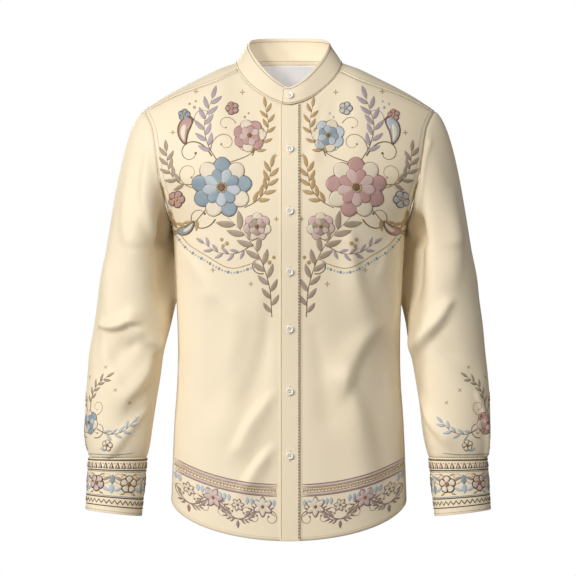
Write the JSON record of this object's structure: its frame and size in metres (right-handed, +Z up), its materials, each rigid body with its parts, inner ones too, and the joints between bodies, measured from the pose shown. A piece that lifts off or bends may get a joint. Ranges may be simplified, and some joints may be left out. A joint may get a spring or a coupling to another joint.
{
  "type": "long-sleeved western shirt with stand collar",
  "caption": "Hollow long-sleeved western shirt with a stand collar, buttoned placket, forward yoke, deep cuffs and a curved hem, filled out as if worn",
  "frame": {"origin": "The middle of the neck's base, level with the points where the shoulders meet the collar, where the wearer holds the shirt up.", "axes": "+Z is up along the shirt, the front faces -Y, +X is towards the wearer's left."},
  "size_m": [0.6477, 0.249, 0.8],
  "materials": {
    "cotton_sateen": "cream cotton sateen with a soft sheen",
    "lining_cotton": "plain white cotton lawn",
    "button_shell": "polished off-white shell-like resin"
  },
  "bodies": {
    "root": {"front_left": "cotton_sateen", "front_right": "cotton_sateen", "back": "cotton_sateen", "yoke": "cotton_sateen", "collar_band": "cotton_sateen", "placket": "cotton_sateen", "sleeve_left": "cotton_sateen", "sleeve_right": "cotton_sateen", "sleeve_placket_left": "cotton_sateen", "sleeve_placket_right": "cotton_sateen", "cuff_left": "cotton_sateen", "cuff_right": "cotton_sateen", "yoke_lining": "lining_cotton", "button_1": "button_shell", "button_2": "button_shell", "button_3": "button_shell", "button_4": "button_shell", "button_5": "button_shell", "button_6": "button_shell", "button_7": "button_shell", "cuff_button_left_1": "button_shell", "cuff_button_left_2": "button_shell", "cuff_button_right_1": "button_shell", "cuff_button_right_2": "button_shell"}
  },
  "joints": []
}
